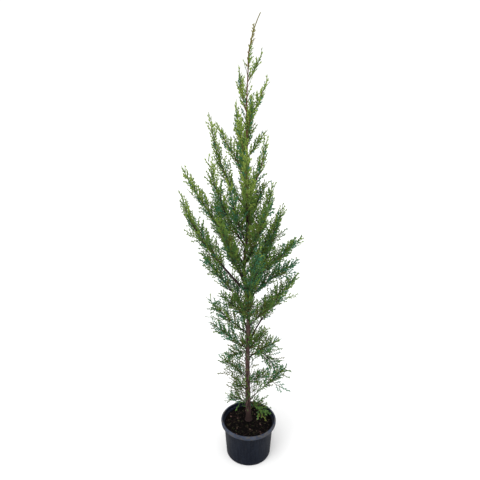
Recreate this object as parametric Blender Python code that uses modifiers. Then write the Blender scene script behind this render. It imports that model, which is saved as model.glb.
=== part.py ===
"""A young leyland cypress in a round nursery container.

The container stands on its flat underside, whose centre is the origin.  It is
filled with compost, and the trunk stands on the compost with a flat cut at
ground level.  Boughs leave the trunk all round, bare near the trunk and leafy
further out.  Each leafy stretch is one solid: a stem, and flat toothed fronds
that grow from it by a seeded rule.

Metres, +Z up.  The compass of a limb is the way it points seen from above:
0 is +X (right), 90 is +Y (back), 180 is -X (left) and 270 is -Y (front).
"""

import math
import random
from collections import namedtuple

import bmesh
import bpy
from mathutils import Matrix, Vector
from mathutils.bvhtree import BVHTree

# ---------------------------------------------------------------- container
POT_HEIGHT = 0.180
RIM_RADIUS = 0.130
RIM_BAND = 0.016  # how far the turned-down rim reaches down the outside
RIM_LIP = 0.009  # width of the flat top of the rim
PLASTIC = 0.0022  # wall of the moulding
FLOOR = 0.0030  # and its floor
SHOULDER_RADIUS = 0.1155  # outside of the body, just under the rim
SHOULDER_DROP = 0.0175  # from the rim's top down to the shoulder
FOOT_RADIUS = 0.1045  # outside of the body at the bottom
FOOT_ROUND = 0.006  # chamfer between the body and the underside
INNER_STEP = 0.0045  # how far above the shoulder the inside of the wall meets the rim
OUTER_STEP = 0.0025  # and the outside
LIP_CHAMFER = 0.0012
POT_SIDES = 32
DRAIN_COUNT = 6
DRAIN_RADIUS = 0.006
DRAIN_CIRCLE = 0.068

# ---------------------------------------------------------------- compost
SOIL_TOP = 0.161
SOIL_DIP = 0.003  # how much lower the compost lies halfway out to the wall
SEAT_MARGIN = 0.006  # level compost left all round the foot of the trunk
GAP = 0.0003  # clearance between pieces that touch

# ---------------------------------------------------------------- trunk
TRUNK_TOP = 1.740
TRUNK_BENDS = (  # height, sideways, backwards
    (SOIL_TOP + GAP, 0.001, 0.018),
    (0.300, -0.003, 0.016),
    (0.500, -0.006, 0.012),
    (0.700, -0.003, 0.008),
    (0.840, -0.015, 0.004),
    (0.950, -0.023, 0.000),
    (1.090, -0.011, -0.004),
    (1.240, -0.007, -0.002),
    (1.400, -0.012, 0.002),
    (1.590, -0.015, 0.004),
    (TRUNK_TOP, -0.010, 0.004),
)
TRUNK_RADIUS_FOOT = 0.0128
TRUNK_RADIUS_TOP = 0.0020
FLARE = 0.0055  # extra radius where the roots spread at ground level
FLARE_HEIGHT = 0.035
TRUNK_RINGS = 26
TAPER_POWER = 1.25

# ---------------------------------------------------------------- limbs
# height: where the limb leaves the trunk's centreline
# reach, climb: how far out and how far up its tip is from there
# bow: how far it bulges, as a share of its length; over 0 it goes out first and then up,
#      under 0 it goes up first and then out or down
# bare: length of the leafless stretch next to the trunk
# late: how far along it bulges most, as a share of its length
Limb = namedtuple("Limb", "name height compass reach climb bow bare late", defaults=(0.5,))
LIMBS = (
    # the left side, from the pot upwards
    Limb("low_left_sprig", 0.262, 200, 0.095, 0.050, 0.00, 0.020),
    Limb("low_left_inner", 0.325, 226, 0.090, 0.075, -0.05, 0.015),
    Limb("low_left", 0.385, 172, 0.125, 0.100, -0.10, 0.030),
    Limb("low_left_twig", 0.530, 206, 0.105, 0.000, -0.12, 0.010),
    Limb("left_skirt", 0.545, 168, 0.165, 0.110, 0.02, 0.030),
    Limb("left_skirt_upper", 0.625, 194, 0.172, 0.185, 0.08, 0.040),
    Limb("left_fork", 0.735, 172, 0.195, 0.255, 0.04, 0.110),
    Limb("left_hollow", 0.700, 208, 0.130, 0.140, 0.02, 0.030),
    Limb("left_outer", 0.830, 185, 0.262, 0.430, 0.14, 0.140, 0.72),
    Limb("left_second", 0.955, 174, 0.250, 0.400, 0.02, 0.130, 0.55),
    Limb("left_third", 1.035, 202, 0.158, 0.372, 0.10, 0.060),
    Limb("left_fourth", 1.190, 178, 0.146, 0.372, 0.17, 0.070),
    Limb("left_fifth", 1.325, 198, 0.125, 0.205, 0.03, 0.030),
    Limb("left_sixth", 1.385, 166, 0.045, 0.220, 0.08, 0.020),
    Limb("left_upper", 1.575, 188, 0.030, 0.155, 0.05, 0.020),
    # the right side, from the pot upwards
    Limb("low_right_hanging", 0.252, 318, 0.105, -0.005, -0.34, 0.030),
    Limb("low_right_arm", 0.258, 16, 0.190, 0.145, -0.06, 0.100),
    Limb("low_right_inner", 0.360, 324, 0.110, 0.095, -0.04, 0.025),
    Limb("low_right", 0.495, 344, 0.140, 0.110, -0.08, 0.040),
    Limb("arching_right", 0.560, 14, 0.135, -0.160, -0.24, 0.070),
    Limb("right_skirt", 0.575, 354, 0.208, 0.335, -0.06, 0.120),
    Limb("right_hollow", 0.535, 334, 0.085, 0.125, 0.00, 0.010),
    Limb("right_inner", 0.655, 322, 0.130, 0.180, 0.02, 0.030),
    Limb("right_arm", 0.785, 10, 0.222, 0.165, -0.12, 0.060),
    Limb("right_outer", 0.825, 346, 0.225, 0.255, -0.07, 0.130),
    Limb("right_full", 0.905, 18, 0.170, 0.290, 0.13, 0.080),
    Limb("right_plume", 1.025, 350, 0.108, 0.275, 0.12, 0.090),
    Limb("right_shoulder", 1.135, 24, 0.080, 0.160, 0.00, 0.050),
    Limb("right_second", 1.255, 350, 0.072, 0.225, 0.12, 0.030),
    Limb("right_third", 1.405, 14, 0.068, 0.085, 0.00, 0.020),
    Limb("right_close", 1.490, 312, 0.030, 0.130, 0.05, 0.010),
    Limb("right_fourth", 1.535, 2, 0.078, 0.155, 0.05, 0.020),
    Limb("right_upper", 1.685, 348, 0.052, 0.095, 0.02, 0.010),
    # the front and the back, filling the crown all round
    Limb("front_low", 0.685, 272, 0.120, 0.170, 0.02, 0.020),
    Limb("front_frond", 0.770, 292, 0.120, 0.290, 0.05, 0.020),
    Limb("front_left", 0.885, 236, 0.180, 0.300, 0.05, 0.050),
    Limb("front_right", 0.950, 304, 0.160, 0.290, 0.06, 0.040),
    Limb("front_upper", 1.130, 266, 0.120, 0.310, 0.08, 0.030),
    Limb("front_top", 1.340, 244, 0.070, 0.220, 0.08, 0.030),
    Limb("front_inner", 1.050, 230, 0.110, 0.270, 0.08, 0.030),
    Limb("back_low", 0.440, 84, 0.150, 0.160, 0.00, 0.060),
    Limb("back_skirt", 0.610, 114, 0.180, 0.240, 0.02, 0.080),
    Limb("back_right", 0.730, 56, 0.200, 0.300, 0.04, 0.100),
    Limb("back_left", 0.860, 130, 0.200, 0.340, 0.06, 0.100),
    Limb("back_middle", 1.000, 78, 0.170, 0.330, 0.08, 0.080),
    Limb("back_upper", 1.200, 106, 0.120, 0.290, 0.08, 0.050),
    Limb("back_top", 1.435, 74, 0.060, 0.200, 0.08, 0.020),
)
LEADER = Limb("leader", TRUNK_TOP, 4, 0.044, 0.183, -0.12, 0.0)
BOUGH_MINIMUM = 0.095  # a shorter bare stretch belongs to the leafy solid
WAVER = 0.05  # how far a limb strays sideways, as a share of its length
LIMB_STEP = 0.058  # spacing of the points along a limb
SHORTEST_SPAN = 0.006  # no two points of a limb are closer together
GIRTH_PER_LENGTH = 0.0105  # radius of a limb where it leaves the trunk
GIRTH_LEAST = 0.0016
STEM_TIP_RADIUS = 0.0011

# ---------------------------------------------------------------- foliage
SHOOT_PITCH = 0.0255  # one shoot leaves the stem every so far in the lower crown
SHOOTS_LEAST = 8
SOLID_EVERY = 2  # every second shoot is a solid frond here
OUTREACH = 0.005  # and so is one that ends this much further out than the tip of its stem
TURN = 137.5  # degrees round the stem from one shoot to the next
TURN_STRAY = 20  # and how many degrees either way that may stray
LEAN_LOW = 39.0  # degrees between a shoot and its stem, at the ground
LEAN_TOP = 24.0  # and at the very top
LEAN_STRAY = 9
ROLL_STRAY = 40  # degrees a frond is rolled out of the plane of its stem
VIGOUR = (0.75, 1.1)  # the shortest and the longest shoot, as shares of the rule's length
LIFT = 0.22  # how strongly shoots turn up to the light
SHOOT_LONGEST = 0.138
LEAST_PLUME, FULL_PLUME = 0.35, 0.45  # share kept on the shortest stem; leafy length for more
UPPER_SHARE = 0.85  # how long the shoots on top of a stem are, as a share of those below it
SHORTENS_FROM = 0.90  # the height from which the shoots get shorter towards the top
TOP_SHARE = 0.36  # how long they are at the very top, as a share of those lower down
TOP = 1.92
SHOOT_SHORTEST = 0.022
FIRST_SHARE, LONGEST_AT, LAST_SHARE = 0.62, 0.30, 0.16  # along a stem, from root to tip
FROND_WIDTH = 0.52  # share of the frond's length
FROND_THICKNESS = 0.0020
TIP_FROND = 0.070  # the frond at the very tip of a stem
TIP_OVERLAP = 0.8  # share of it that lies beside the stem
TIP_ROLL = 2.4  # how much further round each tip frond is rolled than the last
FROND_LEAST = 0.026  # a shorter frond isn't made solid
FROND_CLEARANCE = 0.0008  # between fronds of two masses
SHORTER = (1.0, 0.8, 0.6)  # shares of its length that a crowded frond tries
TWO_TEETH_FROM = 0.070  # a shorter frond has one tooth a side
SISTERS_MEET = 0.25  # fronds of one mass may only run through each other in this first share
POT_CLEARANCE = 0.004
SEED = 7


def clear_scene():
    for old in list(bpy.data.objects):
        bpy.data.objects.remove(old, do_unlink=True)


def material(name, colour, roughness):
    made = bpy.data.materials.new(name)
    made.use_nodes = True
    shader = made.node_tree.nodes["Principled BSDF"]
    shader.inputs["Base Color"].default_value = (*colour, 1.0)
    shader.inputs["Roughness"].default_value = roughness
    return made


def add_object(name, mesh, look, collection):
    made = bpy.data.objects.new(name, mesh)
    made.data.materials.clear()
    made.data.materials.append(look)
    collection.objects.link(made)
    return made


def new_collection(name, hidden=False):
    made = bpy.data.collections.new(name)
    made.hide_render = hidden
    bpy.context.scene.collection.children.link(made)
    return made


def evaluated_mesh(source):
    """The mesh of an object with its modifiers, or of a bevelled curve, with its doubles merged."""
    bpy.context.view_layer.update()
    graph = bpy.context.evaluated_depsgraph_get()
    mesh = bpy.data.meshes.new_from_object(source.evaluated_get(graph))
    mesh.transform(source.matrix_world)
    shape = bmesh.new()
    shape.from_mesh(mesh)
    bmesh.ops.remove_doubles(shape, verts=shape.verts, dist=1e-6)
    shape.to_mesh(mesh)
    shape.free()
    return mesh


def smooth(mesh):
    """Smooth shading, with the edges sharper than 35 degrees kept crisp."""
    mesh.shade_smooth()
    mesh.set_sharp_from_angle(angle=math.radians(35))


# ================================================================ container
def turned(name, profile, sides, look, collection):
    """A solid of revolution from (radius, height) points that run down its outer side."""
    mesh = bpy.data.meshes.new(name)
    points = [(radius, 0.0, height) for radius, height in profile]
    mesh.from_pydata(points, [(i, i + 1) for i in range(len(points) - 1)], [])
    made = add_object(name, mesh, look, collection)
    screw = made.modifiers.new("turn", "SCREW")
    screw.axis = "Z"
    screw.steps = screw.render_steps = sides
    screw.use_merge_vertices = True
    screw.merge_threshold = 1e-5
    screw.use_smooth_shade = False
    return made


def pot_inner_profile():
    """The inside of the container from the middle of its floor to the lip, as (radius, height)."""
    foot = FOOT_RADIUS - PLASTIC
    shoulder_height = POT_HEIGHT - SHOULDER_DROP
    return [
        (0.0, FLOOR),
        (foot - FOOT_ROUND, FLOOR),
        (foot, FLOOR + FOOT_ROUND),
        (SHOULDER_RADIUS - PLASTIC, shoulder_height),
        (RIM_RADIUS - RIM_LIP, shoulder_height + INNER_STEP),
    ]


def make_pot(look, collection, cutters):
    lip_inner = RIM_RADIUS - RIM_LIP
    shoulder_height = POT_HEIGHT - SHOULDER_DROP
    edge = LIP_CHAMFER
    outside = [
        (lip_inner, POT_HEIGHT - edge),
        (lip_inner + edge, POT_HEIGHT),
        (RIM_RADIUS - edge, POT_HEIGHT),
        (RIM_RADIUS, POT_HEIGHT - edge),
        (RIM_RADIUS, POT_HEIGHT - RIM_BAND),
        (RIM_RADIUS - PLASTIC, POT_HEIGHT - RIM_BAND),
        (RIM_RADIUS - PLASTIC, POT_HEIGHT - PLASTIC),
        (lip_inner + PLASTIC, POT_HEIGHT - PLASTIC),
        (lip_inner + PLASTIC, shoulder_height + OUTER_STEP),
        (SHOULDER_RADIUS, shoulder_height - LIP_CHAMFER),
        (FOOT_RADIUS, FOOT_ROUND),
        (FOOT_RADIUS - FOOT_ROUND * 0.35, FOOT_ROUND * 0.3),
        (FOOT_RADIUS - FOOT_ROUND, 0.0),
        (0.0, 0.0),
    ]
    pot = turned("pot", pot_inner_profile() + outside, POT_SIDES, look, collection)
    holes = bmesh.new()
    for i in range(DRAIN_COUNT):
        angle = 2 * math.pi * (i + 0.5) / DRAIN_COUNT
        place = Vector((DRAIN_CIRCLE * math.cos(angle), DRAIN_CIRCLE * math.sin(angle), 0.0))
        bmesh.ops.create_cone(
            holes,
            cap_ends=True,
            segments=10,
            radius1=DRAIN_RADIUS,
            radius2=DRAIN_RADIUS,
            depth=8 * PLASTIC,
            matrix=Matrix.Translation(place),
        )
    mesh = bpy.data.meshes.new("drain_cutters")
    holes.to_mesh(mesh)
    holes.free()
    cutter = add_object("drain_cutters", mesh, look, cutters)
    cutter.hide_render = True
    cutter.display_type = "WIRE"
    cut = pot.modifiers.new("drain_holes", "BOOLEAN")
    cut.operation = "DIFFERENCE"
    cut.object = cutter
    settle(pot)


def settle(made):
    """Applies an object's modifiers and shades it smooth."""
    mesh = evaluated_mesh(made)
    made.modifiers.clear()
    made.data = mesh
    smooth(mesh)


def make_soil(look, collection):
    """The compost: the container's inside, a little smaller, with a flat middle for the trunk."""
    inner = pot_inner_profile()[:3]
    wall_foot, wall_top = pot_inner_profile()[2:4]
    up_the_wall = (SOIL_TOP - wall_foot[1]) / (wall_top[1] - wall_foot[1])
    top_radius = wall_foot[0] + (wall_top[0] - wall_foot[0]) * up_the_wall - 2 * GAP
    seat = TRUNK_RADIUS_FOOT + FLARE + abs(TRUNK_BENDS[0][2]) + SEAT_MARGIN
    profile = [
        (0.0, SOIL_TOP),
        (seat, SOIL_TOP),
        (0.5 * (seat + top_radius), SOIL_TOP - SOIL_DIP),
        (0.92 * top_radius, SOIL_TOP - 0.5 * SOIL_DIP),
        (top_radius, SOIL_TOP - SOIL_DIP),
    ]
    for radius, height in reversed(inner[1:]):
        profile.append((radius - 1.5 * GAP, height + 1.2 * GAP))
    profile.append((0.0, inner[0][1] + 1.2 * GAP))
    settle(turned("soil", profile, POT_SIDES, look, collection))


# ================================================================ limbs
def smooth_points(knots, count):
    """A smooth curve through the knots (Catmull-Rom), sampled evenly in the knots' own measure."""
    padded = [2 * knots[0] - knots[1], *knots, 2 * knots[-1] - knots[-2]]
    spans = len(knots) - 1
    found = []
    for i in range(count):
        place = min(i / (count - 1) * spans, spans - 1e-9)
        span = int(place)
        t = place - span
        a, b, c, d = padded[span : span + 4]
        found.append(
            0.5 * (2 * b + (c - a) * t)
            + 0.5 * (2 * a - 5 * b + 4 * c - d) * t**2
            + 0.5 * (3 * b - a - 3 * c + d) * t**3
        )
    return found


def trunk_line():
    knots = [Vector((x, y, z)) for z, x, y in TRUNK_BENDS]
    dense = smooth_points(knots, 400)
    foot = SOIL_TOP + GAP
    heights = [foot + (TRUNK_TOP - foot) * i / TRUNK_RINGS for i in range(TRUNK_RINGS + 1)]
    flare_rings = [SOIL_TOP + GAP + FLARE_HEIGHT * share for share in (0.2, 0.5)]
    line = [trunk_point(dense, z) for z in sorted(heights + flare_rings)]
    line[0].xy = line[1].xy  # the first length stands upright, so that its end is cut level
    return line


def trunk_point(dense, height):
    """Where the trunk's centreline passes a height."""
    for low, high in zip(dense, dense[1:]):
        if low.z <= height <= high.z:
            return low.lerp(high, (height - low.z) / (high.z - low.z))
    return dense[-1].copy() if height > dense[-1].z else dense[0].copy()


def trunk_radius(height):
    share = (height - SOIL_TOP) / (TRUNK_TOP - SOIL_TOP)
    plain = TRUNK_RADIUS_TOP + (TRUNK_RADIUS_FOOT - TRUNK_RADIUS_TOP) * (1 - share) ** TAPER_POWER
    above = max(0.0, 1 - (height - SOIL_TOP) / FLARE_HEIGHT)
    return plain + FLARE * above**2


def limb_line(limb, root, sideways):
    """Points along a limb, from the trunk's centreline to its tip."""
    compass = math.radians(limb.compass)
    out = Vector((math.cos(compass), math.sin(compass), 0.0))
    aside = Vector((-out.y, out.x, 0.0))
    chord = out * limb.reach + Vector((0, 0, limb.climb))
    bulge = out * limb.climb - Vector((0, 0, limb.reach))
    middle = root + chord * limb.late + bulge * limb.bow + aside * sideways * chord.length
    tip = root + chord
    count = max(4, round(chord.length * 1.05 / LIMB_STEP))
    shares = [i / count for i in range(count + 1)]
    return [root * (1 - t) ** 2 + middle * 2 * t * (1 - t) + tip * t**2 for t in shares]


def line_length(points):
    return sum((b - a).length for a, b in zip(points, points[1:]))


def limb_radius(total, share):
    root = max(GIRTH_LEAST, GIRTH_PER_LENGTH * total)
    return root + (STEM_TIP_RADIUS - root) * share


def place_on(points, distance):
    """The point and the direction at a distance along a line of points."""
    for a, b in zip(points, points[1:]):
        span = (b - a).length
        if distance <= span or b is points[-1]:
            return a + (b - a).normalized() * distance, (b - a).normalized()
        distance -= span


def stretch(points, start, end):
    """The part of a line between two distances from its beginning."""
    first, _ = place_on(points, start)
    last, _ = place_on(points, end)
    kept = [first]
    travelled = 0.0
    for a, b in zip(points, points[1:]):
        travelled += (b - a).length
        if start + SHORTEST_SPAN < travelled < end - SHORTEST_SPAN:
            kept.append(b)
    return [*kept, last]


def tube_mesh(points, radii, resolution):
    """A tapering closed tube along the points; resolution 0, 1 and 2 give 4, 6 and 8 sides."""
    data = bpy.data.curves.new("tube", "CURVE")
    data.dimensions = "3D"
    data.bevel_depth = 0.001
    data.bevel_resolution = resolution
    data.use_fill_caps = True
    spline = data.splines.new("POLY")
    spline.points.add(len(points) - 1)
    for slot, point, radius in zip(spline.points, points, radii):
        slot.co = (*point, 1.0)
        slot.radius = radius / data.bevel_depth
    guide = bpy.data.objects.new("tube", data)
    bpy.context.scene.collection.objects.link(guide)
    mesh = evaluated_mesh(guide)
    bpy.data.objects.remove(guide)
    return mesh


# ================================================================ fronds
def crown_share(height):
    """How long the shoots are at a height, as a share of those in the lower crown."""
    high = min(1.0, max(0.0, (height - SHORTENS_FROM) / (TOP - SHORTENS_FROM)))
    return 1.0 - (1.0 - TOP_SHARE) * high


def plume_share(share):
    """How long the shoots are along a stem: they swell to their longest and dwindle to the tip."""
    if share < LONGEST_AT:
        return FIRST_SHARE + (1.0 - FIRST_SHARE) * share / LONGEST_AT
    return 1.0 - (1.0 - LAST_SHARE) * (share - LONGEST_AT) / (1.0 - LONGEST_AT)


def shoots_along(limb, points, index):
    """The seeded rule by which shoots leave a leafy stretch.

    Yields each shoot's number, root, direction, the normal of its flat frond and its length.
    """
    rule = random.Random(SEED + index)
    leafy = line_length(points) - limb.bare
    pitch = SHOOT_PITCH * crown_share(points[-1].z) ** 0.5
    count = max(SHOOTS_LEAST, round(leafy / pitch))
    longest = SHOOT_LONGEST * min(1.0, LEAST_PLUME + leafy / FULL_PLUME)
    first_turn = rule.uniform(0, 360)
    for number in range(count):
        turn = math.radians(first_turn + number * TURN + rule.uniform(-TURN_STRAY, TURN_STRAY))
        spread = rule.uniform(-LEAN_STRAY, LEAN_STRAY)
        vigour = rule.uniform(*VIGOUR)
        roll = math.radians(rule.uniform(-ROLL_STRAY, ROLL_STRAY))
        share = (number + 0.4) / count
        root, along = place_on(points, limb.bare + leafy * share)
        lean = math.radians(LEAN_LOW + (LEAN_TOP - LEAN_LOW) * root.z / TOP + spread)
        across = along.cross(Vector((0, 0, 1))).normalized()
        out = Matrix.Rotation(turn, 3, along) @ across
        direction = along * math.cos(lean) + out * math.sin(lean)
        direction = (direction + Vector((0, 0, LIFT))).normalized()
        side = UPPER_SHARE if out.z > 0.2 else 1.0
        length = longest * crown_share(root.z) * plume_share(share) * vigour * side
        length = max(SHOOT_SHORTEST, length)
        normal = Matrix.Rotation(roll, 3, direction) @ direction.cross(along).normalized()
        yield number, root, direction, normal, length


def frond_outline(length, teeth):
    """A flat feathery frond from above: forward-pointing teeth on both sides of a midrib along +X."""
    half = 0.5 * FROND_WIDTH * length
    if teeth == 1:
        shape = ((0.44, 1.00), (0.50, 0.50))
    else:
        shape = ((0.36, 1.00), (0.40, 0.52), (0.68, 0.72), (0.70, 0.34))
    side = [(-0.002, 0.0013)]
    for along, out in shape:
        side.append((along * length, out * half))
    return [*side, (length, 0.0), *[(x, -y) for x, y in reversed(side)]]


def frond_mesh(root, direction, normal, length, teeth, grow=0.0):
    """A closed frond of even thickness, placed with its root at the stem's centreline."""
    across = normal.cross(direction).normalized()
    flat = across.cross(direction).normalized() * -1.0
    shape = bmesh.new()
    scale = 1.0 + grow / (0.5 * FROND_WIDTH * length)
    corners = []
    for x, y in frond_outline(length, teeth):
        corners.append(shape.verts.new(direction * x * (1 + grow / length) + across * y * scale))
    face = shape.faces.new(corners)
    thickness = FROND_THICKNESS + 2 * grow
    raised = bmesh.ops.extrude_face_region(shape, geom=[face])
    lifted = [v for v in raised["geom"] if isinstance(v, bmesh.types.BMVert)]
    bmesh.ops.translate(shape, verts=lifted, vec=flat * thickness)
    bmesh.ops.translate(shape, verts=shape.verts, vec=root - flat * (thickness / 2))
    bmesh.ops.recalc_face_normals(shape, faces=shape.faces)
    return shape


class Space:
    """Remembers what has been built, so that a frond that would touch another mass is left out."""

    def __init__(self):
        self.taken = []
        self.outers = []

    @staticmethod
    def box_of(shape):
        corners = [v.co for v in shape.verts]
        low = Vector(min(c[k] for c in corners) for k in range(3))
        high = Vector(max(c[k] for c in corners) for k in range(3))
        return low, high

    def take(self, owner, shape):
        self.taken.append((owner, BVHTree.FromBMesh(shape), *self.box_of(shape)))

    def take_outer(self, owner, shape):
        self.outers.append((owner, BVHTree.FromBMesh(shape)))

    def crosses_sister(self, owner, shape):
        """True where the outer part of a frond would pass through another frond of its own mass."""
        tree = BVHTree.FromBMesh(shape)
        return any(tree.overlap(taken) for other, taken in self.outers if other == owner)

    def is_free(self, owner, shape):
        low, high = self.box_of(shape)
        tree = None
        for other, taken, taken_low, taken_high in self.taken:
            if other == owner:
                continue
            if any(low[k] > taken_high[k] or high[k] < taken_low[k] for k in range(3)):
                continue
            tree = tree or BVHTree.FromBMesh(shape)
            if tree.overlap(taken):
                return False
        return True


def bmesh_of(mesh):
    shape = bmesh.new()
    shape.from_mesh(mesh)
    return shape


def over_the_pot(shape):
    """True where a frond would touch the container, the compost or the floor."""
    for vertex in shape.verts:
        distance = math.hypot(vertex.co.x, vertex.co.y)
        height = vertex.co.z - POT_CLEARANCE
        over_rim = abs(distance - RIM_RADIUS + RIM_LIP / 2) < RIM_LIP / 2 + 2 * POT_CLEARANCE
        if height < SOIL_TOP and distance < RIM_RADIUS + 1.5 * POT_CLEARANCE:
            return True
        if height < POT_HEIGHT and over_rim:
            return True
        if height < 0:
            return True
    return False


# ================================================================ assembly
def joined(name, stem, fronds, trunk_cutter, look, collection):
    """One solid from a stem and its fronds, cut clear of the trunk, with loose scraps dropped."""
    parts = bpy.data.collections.new(name + "_parts")
    bpy.context.scene.collection.children.link(parts)
    for number, shape in enumerate(fronds):
        mesh = bpy.data.meshes.new(f"{name}_frond_{number}")
        shape.to_mesh(mesh)
        parts.objects.link(bpy.data.objects.new(mesh.name, mesh))
    body = bpy.data.objects.new(name + "_raw", stem)
    bpy.context.scene.collection.objects.link(body)
    if fronds:
        union = body.modifiers.new("join", "BOOLEAN")
        union.operation = "UNION"
        union.operand_type = "COLLECTION"
        union.collection = parts
    if trunk_cutter:
        cut = body.modifiers.new("seat", "BOOLEAN")
        cut.operation = "DIFFERENCE"
        cut.object = trunk_cutter
    mesh = evaluated_mesh(body)
    for part in list(parts.objects):
        bpy.data.objects.remove(part)
    bpy.data.collections.remove(parts)
    bpy.data.objects.remove(body)
    keep_largest(mesh)
    if not fronds:
        smooth(mesh)
    return add_object(name, mesh, look, collection)


def keep_largest(mesh):
    """Drops every island but the one with the most vertices."""
    shape = bmesh_of(mesh)
    unseen = set(shape.verts)
    islands = []
    while unseen:
        queue = [unseen.pop()]
        island = set(queue)
        while queue:
            for edge in queue.pop().link_edges:
                for vertex in edge.verts:
                    if vertex in unseen:
                        unseen.discard(vertex)
                        island.add(vertex)
                        queue.append(vertex)
        islands.append(island)
    islands.sort(key=len)
    scraps = [vertex for island in islands[:-1] for vertex in island]
    bmesh.ops.delete(shape, geom=scraps, context="VERTS")
    shape.to_mesh(mesh)
    shape.free()


def make_trunk(look, collection, cutters):
    line = trunk_line()
    radii = [trunk_radius(point.z) for point in line]
    trunk = add_object("trunk", tube_mesh(line, radii, 2), look, collection)
    smooth(trunk.data)
    wider = [radius + GAP for radius in radii]
    cutter = add_object("trunk_clearance", tube_mesh(line, wider, 2), look, cutters)
    cutter.hide_render = True
    cutter.display_type = "WIRE"
    return cutter, line


def limb_plan(line):
    """Each limb's points, and those of the leader that goes on from the trunk's top."""
    dense = smooth_points([Vector((x, y, z)) for z, x, y in TRUNK_BENDS], 400)
    sway = random.Random(SEED)
    plan = []
    for limb in LIMBS:
        sideways = sway.uniform(-WAVER, WAVER)
        plan.append((limb, limb_line(limb, trunk_point(dense, limb.height), sideways)))
    tip, before = line[-1], line[-2]
    start = tip + (tip - before).normalized() * GAP
    plan.append((LEADER, limb_line(LEADER, start, 0.0)))
    return plan


def make_limbs(plan, trunk_cutter, bark, green, collection):
    """The bare boughs and all the stems first, so that every frond can keep clear of them."""
    space = Space()
    space.take("trunk", bmesh_of(trunk_cutter.data))
    stems = {}
    for limb, points in plan:
        total = line_length(points)
        split = limb.bare if limb.bare >= BOUGH_MINIMUM else 0.0
        cutter = None if limb is LEADER else trunk_cutter
        if split:
            bare = stretch(points, 0.0, split)
            shares = [split * i / (len(bare) - 1) / total for i in range(len(bare))]
            tube = tube_mesh(bare, [limb_radius(total, share) for share in shares], 1)
            space.take("bough_" + limb.name, bmesh_of(tube))
            joined("bough_" + limb.name, tube, [], cutter, bark, collection)
            cutter = None
        leafy = stretch(points, split + (GAP if split else 0.0), total)
        shares = [(split + (total - split) * i / (len(leafy) - 1)) / total for i in range(len(leafy))]
        radii = [limb_radius(total, share) for share in shares]
        if limb is LEADER:
            drop = TRUNK_RADIUS_TOP - STEM_TIP_RADIUS
            radii = [TRUNK_RADIUS_TOP - drop * share for share in shares]
        stems[limb.name] = (tube_mesh(leafy, radii, 0), cutter)
        space.take(limb.name, bmesh_of(stems[limb.name][0]))
    for index, (limb, points) in enumerate(plan):
        stem, cutter = stems[limb.name]
        fronds = grow_fronds(limb, points, index, space)
        joined("foliage_" + limb.name, stem, fronds, cutter, green, collection)


def grow_fronds(limb, points, index, space):
    """The solid fronds of one mass, each as long as its neighbours leave room for."""
    tip_size = TIP_FROND * crown_share(points[-1].z)
    tip, along = place_on(points, line_length(points) - TIP_OVERLAP * tip_size)
    level = Vector((-along.y, along.x, 0.0)).normalized()
    wanted = [(tip, along, Matrix.Rotation(TIP_ROLL * index, 3, along) @ level, tip_size)]
    furthest = points[-1].xy.length + OUTREACH
    for number, root, direction, normal, length in shoots_along(limb, points, index):
        reaches_out = (root + direction * length).xy.length > furthest
        if (reaches_out or number % SOLID_EVERY == 1) and length >= FROND_LEAST:
            wanted.append((root, direction, normal, length))
    fronds = []
    for root, direction, normal, length in wanted:
        for size in [length * share for share in SHORTER]:
            teeth = 2 if size > TWO_TEETH_FROM else 1
            around = frond_mesh(root, direction, normal, size, teeth, FROND_CLEARANCE)
            start = root + direction * size * SISTERS_MEET
            outer = frond_mesh(start, direction, normal, size * (1 - SISTERS_MEET), teeth)
            crowded = over_the_pot(around) or not space.is_free(limb.name, around)
            if crowded or space.crosses_sister(limb.name, outer):
                continue
            space.take(limb.name, around)
            space.take_outer(limb.name, outer)
            fronds.append(frond_mesh(root, direction, normal, size, teeth))
            break
    return fronds


def main():
    clear_scene()
    plant = new_collection("leyland_cypress")
    cutters = new_collection("cutters", hidden=True)
    plastic = material("black_plastic", (0.022, 0.024, 0.028), 0.45)
    compost = material("compost", (0.020, 0.014, 0.010), 0.95)
    bark = material("bark", (0.105, 0.060, 0.048), 0.85)
    green = material("green_foliage", (0.085, 0.155, 0.050), 0.60)
    make_pot(plastic, plant, cutters)
    make_soil(compost, plant)
    trunk_cutter, line = make_trunk(bark, plant, cutters)
    make_limbs(limb_plan(line), trunk_cutter, bark, green, plant)


main()
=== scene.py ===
"""The looks of a young leyland cypress in a nursery container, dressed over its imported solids.

Metres, +Z up.  The compass of a limb is the way it points seen from above: 0 is +X (right),
90 is +Y (back), 180 is -X (left) and 270 is -Y (front).
"""

import math
import random
from collections import namedtuple

import bmesh
import bpy
import numpy as np
from mathutils import Matrix, Vector, noise


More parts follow.
